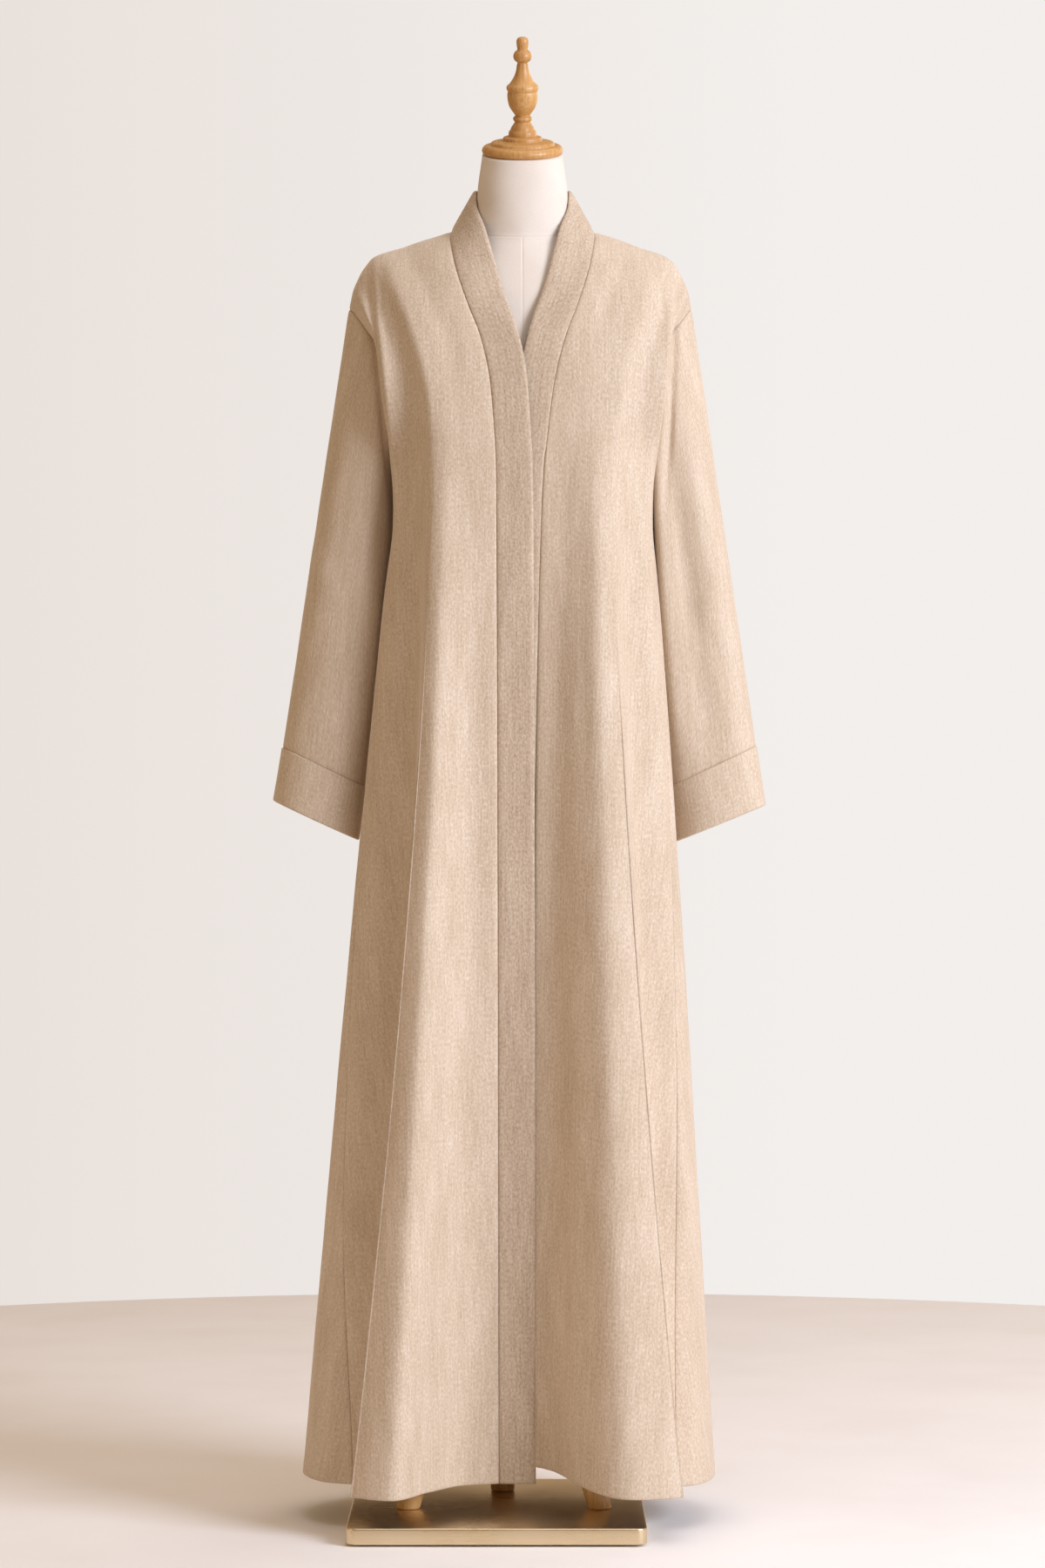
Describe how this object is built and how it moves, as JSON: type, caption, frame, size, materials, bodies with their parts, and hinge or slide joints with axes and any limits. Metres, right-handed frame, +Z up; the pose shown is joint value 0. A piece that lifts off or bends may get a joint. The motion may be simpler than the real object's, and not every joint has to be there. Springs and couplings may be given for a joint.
{
  "type": "open-front abaya cloak on a limbless dress form",
  "caption": "Full-length open-front abaya cloak with a deep neck and front band, long sleeves and cuffs, worn by a limbless dress form on wooden legs and a metal plate.",
  "frame": {"origin": "on the floor under the middle of the whole part's footprint", "axes": "+Z up, -Y the way the cloak opens, +X the viewer's right, which is the wearer's left"},
  "size_m": [0.5672, 0.3642, 1.6931],
  "materials": {
    "abaya_cloth": "matte slubbed melange weave",
    "band_cloth": "matte slubbed melange weave, doubled",
    "form_jersey": "matte fine jersey",
    "turned_wood": "satin varnish",
    "plate_metal": "satin bronze",
    "pad_rubber": "matte"
  },
  "bodies": {
    "root": {"front_right": "abaya_cloth", "front_left": "abaya_cloth", "back": "abaya_cloth", "band_right": "band_cloth", "band_left": "band_cloth", "sleeve_right": "abaya_cloth", "sleeve_left": "abaya_cloth", "cuff_right": "abaya_cloth", "cuff_left": "abaya_cloth", "form_torso": "form_jersey", "neck_cap": "turned_wood", "finial": "turned_wood", "pole": "turned_wood", "hub": "turned_wood", "leg_right": "turned_wood", "leg_left": "turned_wood", "leg_back": "turned_wood", "base_plate": "plate_metal", "pad_1": "pad_rubber", "pad_2": "pad_rubber", "pad_3": "pad_rubber", "pad_4": "pad_rubber"}
  },
  "joints": []
}
